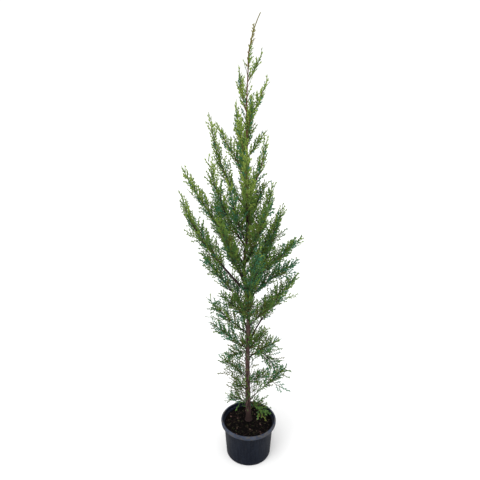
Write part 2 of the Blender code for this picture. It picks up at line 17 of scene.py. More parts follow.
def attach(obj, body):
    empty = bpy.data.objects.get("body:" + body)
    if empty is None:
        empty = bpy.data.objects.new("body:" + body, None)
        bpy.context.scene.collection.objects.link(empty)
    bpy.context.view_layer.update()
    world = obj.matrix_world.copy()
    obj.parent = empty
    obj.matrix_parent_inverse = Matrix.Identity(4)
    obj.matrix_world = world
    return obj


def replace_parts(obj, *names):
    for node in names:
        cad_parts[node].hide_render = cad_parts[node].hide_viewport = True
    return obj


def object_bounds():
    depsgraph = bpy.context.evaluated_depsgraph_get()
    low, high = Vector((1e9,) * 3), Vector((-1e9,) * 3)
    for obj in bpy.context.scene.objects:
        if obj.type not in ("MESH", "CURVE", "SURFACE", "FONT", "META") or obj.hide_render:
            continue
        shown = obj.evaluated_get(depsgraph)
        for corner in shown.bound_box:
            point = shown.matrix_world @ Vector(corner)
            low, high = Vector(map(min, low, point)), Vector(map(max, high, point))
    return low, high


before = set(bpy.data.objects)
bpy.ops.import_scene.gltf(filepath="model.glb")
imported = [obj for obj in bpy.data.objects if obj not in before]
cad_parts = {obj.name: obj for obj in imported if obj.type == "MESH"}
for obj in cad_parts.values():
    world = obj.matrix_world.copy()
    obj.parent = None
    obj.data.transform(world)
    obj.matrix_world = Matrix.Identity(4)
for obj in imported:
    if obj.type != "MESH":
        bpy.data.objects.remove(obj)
solid_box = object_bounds()


# ---------------------------------------------------------------- the container
# A round nursery container, injection moulded in black polypropylene.  Its rim is turned down
# in one band that stiffens it, and six holes are punched through its floor.
POT_HEIGHT = 0.180
RIM_RADIUS = 0.130
RIM_BAND = 0.016  # how far the rim reaches down the outside
RIM_LIP = 0.009  # width of the top of the rim
PLASTIC = 0.0022
SHOULDER_RADIUS = 0.1155
SHOULDER_HEIGHT = 0.1625
FOOT_RADIUS = 0.1045
FOOT_ROUND = 0.006
DRAIN_HOLES = 6
DRAIN_RADIUS = 0.006
DRAIN_CIRCLE = 0.068
POT_SIDES = 96


class Shade:
    """A shader socket: arithmetic on it adds Math nodes, and add() makes any other node."""

    def __init__(self, socket):
        self.socket = socket
        self.tree = socket.id_data

    def add(self, kind, settings, values, output=0):
        """A node of a kind, with its settings made first and then its sockets filled or linked."""
        node = self.tree.nodes.new(kind)
        for name, setting in settings.items():
            setattr(node, name, setting)
        for name, value in values.items():
            if isinstance(value, Shade):
                self.tree.links.new(value.socket, node.inputs[name])
            else:
                node.inputs[name].default_value = value
        return Shade(node.outputs[output])

    def maths(self, operation, first, second):
        return self.add("ShaderNodeMath", {"operation": operation}, {0: first, 1: second})

    def __add__(self, other):
        return self.maths("ADD", self, other)

    def __sub__(self, other):
        return self.maths("SUBTRACT", self, other)

    def __mul__(self, other):
        return self.maths("MULTIPLY", self, other)

    def __rsub__(self, other):
        return self.maths("SUBTRACT", other, self)

    __radd__ = __add__
    __rmul__ = __mul__

    def grain(self, scale, stretch=(1.0, 1.0, 1.0), detail=3.0, roughness=0.55):
        """Noise on these coordinates, about 0.3 to 0.7; a small stretch draws it out that way."""
        drawn = self.add("ShaderNodeMapping", {}, {"Vector": self, "Scale": stretch})
        values = {"Vector": drawn, "Scale": scale, "Detail": detail, "Roughness": roughness}
        return self.add("ShaderNodeTexNoise", {}, values)

    def between(self, low, high):
        """0 below low and 1 above high, with a soft step between."""
        settings = {"interpolation_type": "SMOOTHSTEP"}
        return self.add("ShaderNodeMapRange", settings, {0: self, 1: low, 2: high})

    def up(self):
        """The height of these coordinates."""
        return self.add("ShaderNodeSeparateXYZ", {}, {"Vector": self}, "Z")

    def away(self):
        """How far these coordinates are from the upright axis."""
        level = self.add("ShaderNodeMapping", {}, {"Vector": self, "Scale": (1.0, 1.0, 0.0)})
        return level.add("ShaderNodeVectorMath", {"operation": "LENGTH"}, {0: level}, "Value")

    def mix(self, first, second):
        """The first colour where this is 0, and the second where it is 1."""
        return self.add("ShaderNodeMix", {"data_type": "RGBA"}, {0: self, 6: first, 7: second}, 2)


def new_finish(name, roughness, specular=0.5):
    """A material, its shader and its object coordinates."""
    look = bpy.data.materials.new(name)
    look.use_nodes = True
    shader = look.node_tree.nodes["Principled BSDF"]
    shader.inputs["Roughness"].default_value = roughness
    shader.inputs["Specular IOR Level"].default_value = specular
    coordinates = look.node_tree.nodes.new("ShaderNodeTexCoord")
    return look, shader, Shade(coordinates.outputs["Object"])


def paint(shader, colour, relief=None, depth=0.001, roughness=None):
    """Links what changes over the surface to its shader: colour, relief in metres, and gloss."""
    links = shader.id_data.links
    links.new(colour.socket, shader.inputs["Base Color"])
    if relief:
        bump = relief.add("ShaderNodeBump", {}, {"Height": relief, "Distance": depth})
        links.new(bump.socket, shader.inputs["Normal"])
    if roughness:
        links.new(roughness.socket, shader.inputs["Roughness"])


def add_mesh(mesh, look):
    """A finished mesh as a smooth object that rides on the plant."""
    mesh.shade_smooth()
    mesh.materials.append(look)
    piece = bpy.data.objects.new(mesh.name, mesh)
    bpy.context.scene.collection.objects.link(piece)
    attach(piece, "root")
    return piece


def add_piece(name, shape, look, soft_from):
    """A finished bmesh as such an object, smooth only up to an angle in degrees."""
    mesh = bpy.data.meshes.new(name)
    shape.to_mesh(mesh)
    shape.free()
    piece = add_mesh(mesh, look)
    mesh.set_sharp_from_angle(angle=math.radians(soft_from))
    return piece


def turned(profile, sides):
    """A solid of revolution round +Z from (radius, height) points."""
    shape = bmesh.new()
    points = [shape.verts.new((radius, 0.0, height)) for radius, height in profile]
    lines = [shape.edges.new(pair) for pair in zip(points, points[1:])]
    bmesh.ops.spin(
        shape,
        geom=points + lines,
        axis=(0.0, 0.0, 1.0),
        cent=(0.0, 0.0, 0.0),
        steps=sides,
        angle=2 * math.pi,
        use_merge=True,
    )
    bmesh.ops.remove_doubles(shape, verts=shape.verts, dist=1e-6)
    bmesh.ops.recalc_face_normals(shape, faces=shape.faces)
    return shape


lip = RIM_RADIUS - RIM_LIP  # radius of the mouth
pot_inside = [
    (0.0, PLASTIC + 0.0008),
    (FOOT_RADIUS - PLASTIC - FOOT_ROUND, PLASTIC + 0.0008),
    (FOOT_RADIUS - PLASTIC - 0.0025, PLASTIC + 0.0032),
    (FOOT_RADIUS - PLASTIC, PLASTIC + FOOT_ROUND),
    (SHOULDER_RADIUS - PLASTIC, SHOULDER_HEIGHT),
    (lip - 0.0012, SHOULDER_HEIGHT + 0.0034),
    (lip, SHOULDER_HEIGHT + 0.0050),
]
pot_outside = [
    (lip, POT_HEIGHT - 0.0016),
    (lip + 0.0006, POT_HEIGHT - 0.0005),
    (lip + 0.0018, POT_HEIGHT),
    (RIM_RADIUS - 0.0034, POT_HEIGHT),
    (RIM_RADIUS - 0.0016, POT_HEIGHT - 0.0007),
    (RIM_RADIUS - 0.0005, POT_HEIGHT - 0.0022),
    (RIM_RADIUS, POT_HEIGHT - 0.0050),
    (RIM_RADIUS - 0.0002, POT_HEIGHT - 0.0100),
    (RIM_RADIUS - 0.0008, POT_HEIGHT - RIM_BAND + 0.0012),
    (RIM_RADIUS - 0.0013, POT_HEIGHT - RIM_BAND),
    (RIM_RADIUS - PLASTIC, POT_HEIGHT - RIM_BAND + 0.0004),
    (RIM_RADIUS - PLASTIC, POT_HEIGHT - PLASTIC - 0.0020),
    (lip + PLASTIC, POT_HEIGHT - PLASTIC - 0.0020),
    (lip + PLASTIC, SHOULDER_HEIGHT + 0.0030),
    (SHOULDER_RADIUS + 0.0008, SHOULDER_HEIGHT + 0.0002),
    (SHOULDER_RADIUS, SHOULDER_HEIGHT - 0.0020),
    (FOOT_RADIUS + 0.0012, 0.0220),
    (FOOT_RADIUS + 0.0002, FOOT_ROUND + 0.0010),
    (FOOT_RADIUS - 0.0012, FOOT_ROUND * 0.45),
    (FOOT_RADIUS - 0.0040, FOOT_ROUND * 0.12),
    (FOOT_RADIUS - FOOT_ROUND, 0.0),
    (0.0, 0.0),
]

plastic, plastic_shader, place = new_finish("black_plastic", 0.5, specular=0.06)
streaks = place.grain(170, stretch=(1.0, 1.0, 0.03), detail=2.0)
clouds = place.grain(18, detail=4.0)
scratches = place.grain(900, stretch=(0.25, 0.25, 1.0), detail=2.0).between(0.60, 0.72)
on_rim = place.away().between(lip + 0.0006, lip + 0.0016)
dust = (place.grain(75, detail=5.0) + 0.12 * on_rim).between(0.58, 0.72) * (0.12 + 0.40 * on_rim)
body_colour = streaks.between(0.40, 0.64).mix(
    (0.0020, 0.0035, 0.0085, 1), (0.0048, 0.0072, 0.0140, 1)
)
# painted light: the rim, of the same black plastic, is coloured lighter than the body where it
# catches light
rim_colour_painted_light = clouds.between(0.35, 0.65).mix((0.026, 0.034, 0.054, 1), (0.046, 0.056, 0.082, 1))
plastic_colour = on_rim.mix(body_colour, rim_colour_painted_light)
plastic_colour = (scratches * 0.35).mix(plastic_colour, (0.10, 0.11, 0.13, 1))
plastic_colour = dust.mix(plastic_colour, (0.085, 0.070, 0.052, 1))
paint(
    plastic_shader,
    plastic_colour,
    relief=streaks * 0.5 + place.grain(420, detail=3.0) * 0.5,
    depth=0.0006,
    roughness=0.42 + 0.25 * clouds + 0.3 * dust,
)

pot = add_piece("container", turned(pot_inside + pot_outside, POT_SIDES), plastic, 32)
drills = bmesh.new()
for number in range(DRAIN_HOLES):
    angle = 2 * math.pi * (number + 0.5) / DRAIN_HOLES
    at = Matrix.Translation((DRAIN_CIRCLE * math.cos(angle), DRAIN_CIRCLE * math.sin(angle), 0))
    sizes = {"segments": 20, "radius1": DRAIN_RADIUS, "radius2": DRAIN_RADIUS, "depth": 0.03}
    bmesh.ops.create_cone(drills, cap_ends=True, matrix=at, **sizes)
drill_mesh = bpy.data.meshes.new("drills")
drills.to_mesh(drill_mesh)
drills.free()
drill = bpy.data.objects.new("drills", drill_mesh)
bpy.context.scene.collection.objects.link(drill)
punch = pot.modifiers.new("drain_holes", "BOOLEAN")
punch.operation = "DIFFERENCE"
punch.object = drill
bpy.context.view_layer.update()
punched = bpy.data.meshes.new_from_object(
    pot.evaluated_get(bpy.context.evaluated_depsgraph_get())
)
pot.modifiers.clear()
pot.data = punched
bpy.data.objects.remove(drill)
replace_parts(pot, "pot")


# ---------------------------------------------------------------- the compost
# Moist peat and bark compost, filled to two centimetres under the rim.  It is crumbly on top,
# with old scale leaves, snapped twigs and flakes of bark lying on it.
SOIL_TOP = 0.161
SOIL_RADIUS = SHOULDER_RADIUS - PLASTIC - 0.0009
SOIL_RINGS, SOIL_SIDES = 44, 110
TRUNK_FOOT = Vector((0.001, 0.018, SOIL_TOP))

compost, compost_shader, place = new_finish("compost", 0.95, specular=0.04)
crumbs = place.grain(260, detail=6.0, roughness=0.7)
compost_colour = crumbs.between(0.42, 0.66).mix(
    (0.0006, 0.0005, 0.0006, 1), (0.0058, 0.0044, 0.0038, 1)
)
paint(compost_shader, compost_colour, relief=crumbs, depth=0.004)


def soil_height(x, y):
    """How high the crumbly top of the compost lies, a little heaped round the trunk."""
    lumps = noise.fractal(Vector((x * 38, y * 38, 3.0)), 0.9, 2.1, 4)
    crumb = noise.noise(Vector((x * 170, y * 170, 9.0)))
    heaped = math.exp(-(((x - TRUNK_FOOT.x) ** 2 + (y - TRUNK_FOOT.y) ** 2) / 0.028**2))
    return SOIL_TOP - 0.0022 + 0.0016 * lumps + 0.0010 * crumb + 0.0030 * heaped


soil_profile = [(SOIL_RADIUS * ring / SOIL_RINGS, SOIL_TOP) for ring in range(SOIL_RINGS + 1)]
soil_profile += [
    (FOOT_RADIUS - PLASTIC - 0.0006, PLASTIC + FOOT_ROUND + 0.0006),
    (FOOT_RADIUS - PLASTIC - FOOT_ROUND, PLASTIC + 0.0012),
    (0.0, PLASTIC + 0.0012),
]
soil_shape = turned(soil_profile, SOIL_SIDES)
for vertex in soil_shape.verts:
    if vertex.co.z > SOIL_TOP - 1e-6:
        vertex.co.z = soil_height(vertex.co.x, vertex.co.y)
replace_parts(add_piece("compost", soil_shape, compost, 70), "soil")

Litter = namedtuple("Litter", "name colour_dark colour_light count length width thickness")
LITTER = (
    Litter("straw_litter", (0.040, 0.034, 0.018), (0.10, 0.085, 0.045), 50, 0.0085, 0.0016, 0.0010),
    Litter("green_litter", (0.014, 0.018, 0.006), (0.038, 0.046, 0.016), 45, 0.0090, 0.0020, 0.0011),
    Litter("bark_litter", (0.005, 0.003, 0.003), (0.022, 0.012, 0.010), 200, 0.0075, 0.0040, 0.0016),
    Litter("pink_litter", (0.070, 0.038, 0.033), (0.15, 0.09, 0.08), 16, 0.0065, 0.0046, 0.0022),
)
CLEAR_OF_TRUNK = 0.022
strew = random.Random(3)
for kind in LITTER:
    look, shader, place = new_finish(kind.name, 0.85, specular=0.08)
    speckle = place.grain(500, detail=2.0).between(0.35, 0.65)
    paint(shader, speckle.mix((*kind.colour_dark, 1), (*kind.colour_light, 1)), speckle, 0.0004)
    litter = bmesh.new()
    for _ in range(kind.count):
        angle = strew.uniform(0, 2 * math.pi)
        away = (SOIL_RADIUS - 0.007) * math.sqrt(strew.uniform(0.04, 1.0))
        x = away * math.cos(angle)
        y = away * math.sin(angle)
        if math.hypot(x - TRUNK_FOOT.x, y - TRUNK_FOOT.y) < CLEAR_OF_TRUNK:
            continue
        length = kind.length * strew.uniform(0.5, 1.5)
        scraps = bmesh.ops.create_cube(litter, size=1.0)["verts"]
        for corner in scraps:
            narrow = 0.35 if corner.co.x > 0 else 1.0
            corner.co.y *= narrow * strew.uniform(0.7, 1.2)
            corner.co.z *= strew.uniform(0.7, 1.2)
        size = Matrix.Diagonal((length, kind.width * strew.uniform(0.6, 1.3), kind.thickness, 1))
        tilt = Matrix.Rotation(strew.uniform(-0.25, 0.25), 4, "Y")
        turn = Matrix.Rotation(strew.uniform(0, 2 * math.pi), 4, "Z")
        lie = Matrix.Translation((x, y, soil_height(x, y) + kind.thickness * 0.45))
        bmesh.ops.transform(litter, verts=scraps, matrix=lie @ turn @ tilt @ size)
    add_piece(kind.name, litter, look, 50)


# ---------------------------------------------------------------- the trunk
# One whole stem of thin purple-brown bark that splits into stringy ridges low down and is
# smooth and reddish towards its top.  Snapped twigs have left short stubs on its bare part.
TRUNK_TOP = 1.740
TRUNK_BENDS = (  # height, sideways, backwards
    (SOIL_TOP, 0.001, 0.018),
    (0.300, -0.003, 0.016),
    (0.500, -0.006, 0.012),
    (0.700, -0.003, 0.008),
    (0.840, -0.015, 0.004),
    (0.950, -0.023, 0.000),
    (1.090, -0.011, -0.004),
    (1.240, -0.007, -0.002),
    (1.400, -0.012, 0.002),
    (1.590, -0.015, 0.004),
    (TRUNK_TOP, -0.010, 0.004),
)
TRUNK_RADIUS_FOOT = 0.0128
TRUNK_RADIUS_TOP = 0.0020
FLARE = 0.0055
FLARE_HEIGHT = 0.035
TRUNK_STEP = 0.006  # between the rings of its mesh
STUBS = 18
SEED = 7


def new_bark(name, old, young, streak, newest):
    """Thin bark: dark furrows, brown ridges, paler strings; dark at the foot, new at the top."""
    look, shader, place = new_finish(name, 0.8, specular=0.12)
    strings = place.grain(330, stretch=(1.0, 1.0, 0.07), detail=3.0)
    patches = place.grain(60, stretch=(1.0, 1.0, 0.35), detail=4.0)
    colour = strings.between(0.38, 0.58).mix((*old, 1), (*young, 1))
    colour = (patches.between(0.52, 0.66) * strings.between(0.45, 0.60)).mix(colour, (*streak, 1))
    colour = (place.up() + 0.2 * patches).between(1.15, 1.75).mix(colour, (*newest, 1))
    colour = (place.up() + 0.03 * patches).between(0.178, 0.290).mix((*old, 1), colour)
    paint(shader, colour, relief=strings, depth=0.0012)
    return look


def smooth_line(knots, count):
    """Points of a smooth curve through the knots (Catmull-Rom)."""
    padded = [2 * knots[0] - knots[1], *knots, 2 * knots[-1] - knots[-2]]
    spans = len(knots) - 1
    found = []
    for i in range(count):
        place = min(i / (count - 1) * spans, spans - 1e-9)
        span = int(place)
        t = place - span
        a, b, c, d = padded[span : span + 4]
        found.append(
            0.5 * (2 * b + (c - a) * t)
            + 0.5 * (2 * a - 5 * b + 4 * c - d) * t**2
            + 0.5 * (3 * b - a - 3 * c + d) * t**3
        )
    return found


def trunk_at(height):
    """Where the trunk's centreline passes a height."""
    for low, high in zip(trunk_line, trunk_line[1:]):
        if low.z <= height <= high.z:
            return low.lerp(high, (height - low.z) / (high.z - low.z))
    return trunk_line[-1].copy()


def trunk_radius(height):
    share = min(1.0, (height - SOIL_TOP) / (TRUNK_TOP - SOIL_TOP))
    plain = TRUNK_RADIUS_TOP + (TRUNK_RADIUS_FOOT - TRUNK_RADIUS_TOP) * (1 - share) ** 1.25
    above = max(0.0, 1 - (height - SOIL_TOP) / FLARE_HEIGHT)
    return plain + FLARE * above**2


def no_relief(place):
    return 0.0


def grown_stem(shape, points, radii, sides, relief=no_relief):
    """Adds a closed stem: a ring extruded from point to point, its radius roughened by relief."""
    ways = [(b - a).normalized() for a, b in zip(points, points[1:])]
    ways.append(ways[-1])
    stand = Matrix.Translation(points[0]) @ ways[0].to_track_quat("Z", "Y").to_matrix().to_4x4()
    ring = bmesh.ops.create_circle(
        shape, cap_ends=True, radius=radii[0], segments=sides, matrix=stand
    )["verts"]
    rim = list({edge for vertex in ring for edge in vertex.link_edges})
    for i in range(1, len(points)):
        raised = bmesh.ops.extrude_edge_only(shape, edges=rim)["geom"]
        ring = [part for part in raised if isinstance(part, bmesh.types.BMVert)]
        inside = set(ring)
        edges = [part for part in raised if isinstance(part, bmesh.types.BMEdge)]
        rim = [edge for edge in edges if inside.issuperset(edge.verts)]
        turn = ways[i - 1].rotation_difference(ways[i])
        for vertex in ring:
            out = vertex.co - points[i - 1]
            out = turn @ (out - out.project(ways[i - 1])).normalized()
            vertex.co = points[i] + out * radii[i]
            vertex.co += out * relief(vertex.co)
    bmesh.ops.pointmerge(shape, verts=ring, merge_co=points[-1] + ways[-1] * radii[-1])


def trunk_relief(place):
    """Stringy ridges and shallow furrows up the trunk, finer and weaker towards its top."""
    strength = min(1.0, trunk_radius(place.z) / TRUNK_RADIUS_FOOT)
    strings = noise.noise(Vector((place.x * 330, place.y * 330, place.z * 24)))
    flakes = noise.fractal(Vector((place.x * 110, place.y * 110, place.z * 30)), 0.8, 2.2, 3)
    knots = max(0.0, noise.noise(Vector((place.x * 55, place.y * 55, place.z * 42 + 7))) - 0.28)
    return strength * (0.00060 * strings + 0.00040 * flakes + 0.0035 * knots)


trunk_line = smooth_line([Vector((x, y, z)) for z, x, y in TRUNK_BENDS], 400)
trunk_rings = int((TRUNK_TOP - SOIL_TOP) / TRUNK_STEP)
trunk_points = [trunk_at(SOIL_TOP + TRUNK_STEP * i) for i in range(trunk_rings)] + [trunk_line[-1]]
trunk_points.insert(0, trunk_points[0] - Vector((0, 0, 0.005)))
trunk_shape = bmesh.new()
grown_stem(trunk_shape, trunk_points, [trunk_radius(p.z) for p in trunk_points], 40, trunk_relief)

snap = random.Random(11)
for _ in range(STUBS):
    height = snap.uniform(0.21, 0.95)
    compass = snap.uniform(0, 2 * math.pi)
    out = Vector((math.cos(compass), math.sin(compass), snap.uniform(0.3, 0.9))).normalized()
    girth = snap.uniform(0.0009, 0.0019)
    root = trunk_at(height)
    start = trunk_radius(height) * 0.8
    end = trunk_radius(height) + snap.uniform(0.002, 0.007)
    steps = [start + (end - start) * i / 3 for i in range(4)]
    stub = [root + out * step for step in steps]
    grown_stem(trunk_shape, stub, [girth * 1.7, girth * 1.2, girth, girth * 0.8], 7)
bmesh.ops.recalc_face_normals(trunk_shape, faces=trunk_shape.faces)
barks = ((0.024, 0.014, 0.013), (0.088, 0.052, 0.047), (0.15, 0.108, 0.096), (0.095, 0.040, 0.028))
trunk_bark = new_bark("trunk_bark", *barks)
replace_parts(add_piece("trunk_with_bark", trunk_shape, trunk_bark, 75), "trunk")


# ---------------------------------------------------------------- the boughs
# Every limb that leaves the trunk, bare near it and leafy further out.  Its bark is thin, dark
# and tight, it swells into a collar at the trunk, and its last stretch is still green.
# reach, climb: how far out and how far up the tip is from the trunk's centreline
# bow: how far it bulges, as a share of its length; over 0 it goes out first and then up
# bare: length of the leafless stretch next to the trunk
# late: how far along it bulges most, as a share of its length
Limb = namedtuple("Limb", "name height compass reach climb bow bare late", defaults=(0.5,))
LIMBS = (
    # the left side, from the pot upwards
    Limb("low_left_sprig", 0.262, 200, 0.095, 0.050, 0.00, 0.020),
    Limb("low_left_inner", 0.325, 226, 0.090, 0.075, -0.05, 0.015),
    Limb("low_left", 0.385, 172, 0.125, 0.100, -0.10, 0.030),
    Limb("low_left_twig", 0.530, 206, 0.105, 0.000, -0.12, 0.010),
    Limb("left_skirt", 0.545, 168, 0.165, 0.110, 0.02, 0.030),
    Limb("left_skirt_upper", 0.625, 194, 0.172, 0.185, 0.08, 0.040),
    Limb("left_fork", 0.735, 172, 0.195, 0.255, 0.04, 0.110),
    Limb("left_hollow", 0.700, 208, 0.130, 0.140, 0.02, 0.030),
    Limb("left_outer", 0.830, 185, 0.262, 0.430, 0.14, 0.140, 0.72),
    Limb("left_second", 0.955, 174, 0.250, 0.400, 0.02, 0.130, 0.55),
    Limb("left_third", 1.035, 202, 0.158, 0.372, 0.10, 0.060),
    Limb("left_fourth", 1.190, 178, 0.146, 0.372, 0.17, 0.070),
    Limb("left_fifth", 1.325, 198, 0.125, 0.205, 0.03, 0.030),
    Limb("left_sixth", 1.385, 166, 0.045, 0.220, 0.08, 0.020),
    Limb("left_upper", 1.575, 188, 0.030, 0.155, 0.05, 0.020),
    # the right side, from the pot upwards
    Limb("low_right_hanging", 0.252, 318, 0.105, -0.005, -0.34, 0.030),
    Limb("low_right_arm", 0.258, 16, 0.190, 0.145, -0.06, 0.100),
    Limb("low_right_inner", 0.360, 324, 0.110, 0.095, -0.04, 0.025),
    Limb("low_right", 0.495, 344, 0.140, 0.110, -0.08, 0.040),
    Limb("arching_right", 0.560, 14, 0.135, -0.160, -0.24, 0.070),
    Limb("right_skirt", 0.575, 354, 0.208, 0.335, -0.06, 0.120),
    Limb("right_hollow", 0.535, 334, 0.085, 0.125, 0.00, 0.010),
    Limb("right_inner", 0.655, 322, 0.130, 0.180, 0.02, 0.030),
    Limb("right_arm", 0.785, 10, 0.222, 0.165, -0.12, 0.060),
    Limb("right_outer", 0.825, 346, 0.225, 0.255, -0.07, 0.130),
    Limb("right_full", 0.905, 18, 0.170, 0.290, 0.13, 0.080),
    Limb("right_plume", 1.025, 350, 0.108, 0.275, 0.12, 0.090),
    Limb("right_shoulder", 1.135, 24, 0.080, 0.160, 0.00, 0.050),
    Limb("right_second", 1.255, 350, 0.072, 0.225, 0.12, 0.030),
    Limb("right_third", 1.405, 14, 0.068, 0.085, 0.00, 0.020),
    Limb("right_close", 1.490, 312, 0.030, 0.130, 0.05, 0.010),
    Limb("right_fourth", 1.535, 2, 0.078, 0.155, 0.05, 0.020),
    Limb("right_upper", 1.685, 348, 0.052, 0.095, 0.02, 0.010),
    # the front and the back, filling the crown all round
    Limb("front_low", 0.685, 272, 0.120, 0.170, 0.02, 0.020),
    Limb("front_frond", 0.770, 292, 0.120, 0.290, 0.05, 0.020),
    Limb("front_left", 0.885, 236, 0.180, 0.300, 0.05, 0.050),
    Limb("front_right", 0.950, 304, 0.160, 0.290, 0.06, 0.040),
    Limb("front_upper", 1.130, 266, 0.120, 0.310, 0.08, 0.030),
    Limb("front_top", 1.340, 244, 0.070, 0.220, 0.08, 0.030),
    Limb("front_inner", 1.050, 230, 0.110, 0.270, 0.08, 0.030),
    Limb("back_low", 0.440, 84, 0.150, 0.160, 0.00, 0.060),
    Limb("back_skirt", 0.610, 114, 0.180, 0.240, 0.02, 0.080),
    Limb("back_right", 0.730, 56, 0.200, 0.300, 0.04, 0.100),
    Limb("back_left", 0.860, 130, 0.200, 0.340, 0.06, 0.100),
    Limb("back_middle", 1.000, 78, 0.170, 0.330, 0.08, 0.080),
    Limb("back_upper", 1.200, 106, 0.120, 0.290, 0.08, 0.050),
    Limb("back_top", 1.435, 74, 0.060, 0.200, 0.08, 0.020),
)
LEADER = Limb("leader", TRUNK_TOP, 4, 0.044, 0.183, -0.12, 0.0)
BOUGH_MINIMUM = 0.095  # a shorter bare stretch is part of the leafy mass's own node
WAVER = 0.05
GIRTH_PER_LENGTH = 0.0105
GIRTH_LEAST = 0.0016
STEM_TIP_RADIUS = 0.0011
BARK_SHARE = 0.80  # from here on a stem is green
LEADER_BARK = 7  # points of the leading shoot that have bark
LEADER_RADIUS = 0.0020
LIMB_STEP = 0.012


def line_length(points):
    return sum((b - a).length for a, b in zip(points, points[1:]))


def place_on(points, distance):
    """The point and the direction at a distance along a line of points."""
    for a, b in zip(points, points[1:]):
        span = (b - a).length
        if distance <= span or b is points[-1]:
            return a + (b - a).normalized() * distance, (b - a).normalized()
        distance -= span


def limb_line(limb, root, sideways):
    """Points along a limb, from the trunk's centreline to its tip."""
    compass = math.radians(limb.compass)
    out = Vector((math.cos(compass), math.sin(compass), 0.0))
    aside = Vector((-out.y, out.x, 0.0))
    chord = out * limb.reach + Vector((0, 0, limb.climb))
    bulge = out * limb.climb - Vector((0, 0, limb.reach))
    middle = root + chord * limb.late + bulge * limb.bow + aside * sideways * chord.length
    tip = root + chord
    count = max(4, round(chord.length * 1.05 / LIMB_STEP))
    shares = [i / count for i in range(count + 1)]
    return [root * (1 - t) ** 2 + middle * 2 * t * (1 - t) + tip * t**2 for t in shares]


def limb_radius(total, share):
    root = max(GIRTH_LEAST, GIRTH_PER_LENGTH * total)
    collar = 1 + 0.35 * math.exp(-share * total / 0.022)
    return (root + (STEM_TIP_RADIUS - root) * share) * collar


def limb_relief(place):
    return 0.00035 * noise.noise(place * 260) + 0.0003 * noise.noise(place * 90)


def wander(place):
    """How far a limb strays from its even curve, where it once put out a shoot or lost one."""
    return Vector([0.0022 * noise.noise(place * 21 + Vector((9 * k, 0, 0))) for k in range(3)])


sway = random.Random(SEED)
limb_lines = []
for limb in LIMBS:
    sideways = sway.uniform(-WAVER, WAVER)
    limb_lines.append((limb, limb_line(limb, trunk_at(limb.height), sideways)))
limb_lines.append((LEADER, limb_line(LEADER, trunk_line[-1], 0.0)))

bough_shape = bmesh.new()
for limb, points in limb_lines:
    total = line_length(points)
    count = LEADER_BARK if limb is LEADER else round(len(points) * BARK_SHARE)
    woody = [point + wander(point) * min(1.0, i / 6) for i, point in enumerate(points[:count])]
    shares = [i / (len(points) - 1) for i in range(count)]
    radii = [limb_radius(total, share) for share in shares]
    if limb is LEADER:
        radii = [LEADER_RADIUS - 0.0007 * share for share in shares]
    grown_stem(bough_shape, woody, radii, 9, limb_relief)
bmesh.ops.recalc_face_normals(bough_shape, faces=bough_shape.faces)
barks = ((0.009, 0.005, 0.006), (0.030, 0.018, 0.018), (0.062, 0.041, 0.037), (0.110, 0.062, 0.030))
bough_bark = new_bark("bough_bark", *barks)
boughs = add_piece("boughs_with_bark", bough_shape, bough_bark, 75)
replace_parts(boughs, *[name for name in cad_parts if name.startswith("bough_")])


# ---------------------------------------------------------------- the foliage
# Flat feathery sprays: a thin twig with alternate branchlets that branch again, all sheathed in
# tiny scale leaves.  The young ends are yellow-green, the old inner parts olive and dark, and
# sprays that show their underside are blue-green.  Over this lie painted light and shade: sprays
# high up and far out get lighter tints, and those low down, inside and where the crown is thickest
# darker ones.
SHOOT_PITCH = 0.0255  # between the main shoots along a limb
SHOOTS_LEAST = 8
BETWEEN = 1.6  # how many shorter shoots there are to each of the main ones
TURN = 137.5  # degrees round the limb from each shoot to the next
LEAN_LOW, LEAN_TOP = 39.0, 24.0  # degrees between a limb and its shoots, low down and at the top
LIFT = 0.22  # how far a shoot turns upwards
SHOOT_LONGEST = 0.138
SHOOT_SHORTEST = 0.022
UPPER_SHARE = 0.85  # length of the shoots over a limb, as a share of the others
SHORTENS_FROM = 0.90  # the height from which shoots are shorter, down to this share at the top
TOP_SHARE = 0.36
TOP = 1.92
CROWN_RADIUS = 0.20
FIRST_SHARE, LONGEST_AT, LAST_SHARE = 0.62, 0.30, 0.16  # how the shoots of a limb vary in length
LOOSE_BELOW, LOOSE_DEPTH = 0.60, 0.20  # limbs from lower down are shaded and hang loosely
LOOSE_LEAN, LOOSE_FALL = 24, 1.6  # how much further their shoots lean out, and how they droop

FAN_PITCH = 0.0042  # between the lesser sprays, which stand in ranks along a limb
FAN_END = 0.86  # how far along a limb they go, as a share of its length
FAN_LONGEST, FAN_SHORTEST = 0.074, 0.014
FACE = Vector((0.0, -0.97, 0.24))  # the side the fans turn their flat faces to
FAN_TWIST = 28  # most degrees that a limb's fan is turned away from that side
THICK_AT, THICK_DEPTH, THICK_MORE = 1.15, 0.15, 0.70  # limbs that end at mid-crown have more
FAN_ABOVE, FAN_BELOW, FAN_CLOSE = 1.15, 0.75, 0.62  # how long they are over, under and along it
CLOSE_LEAN = 16  # degrees between the limb and the sprays that lie along it
TIP_SHARE = 0.20  # share of a limb that is its end spray
PAST_TIPS = 0.003  # how far a spray may reach past the crown's furthest tips
CLEARANCE = 0.003  # between the sprays and the container or the compost
BARE_FRONT = 1.30  # above this the trunk bears no sprays on its front
FLARING_BELOW, FLARING_LEAN = 0.62, 18  # below this the trunk's sprays lean out further
LEADER_STEPS = 34
LEADER_SPRAY = 0.035  # length of the lowest sprays on the leading shoot
LEADER_LEAFY = 0.66  # share of it that bears sprays
LEADER_FORK, FORK_LENGTH = 0.57, 0.034  # where its second tip parts from it

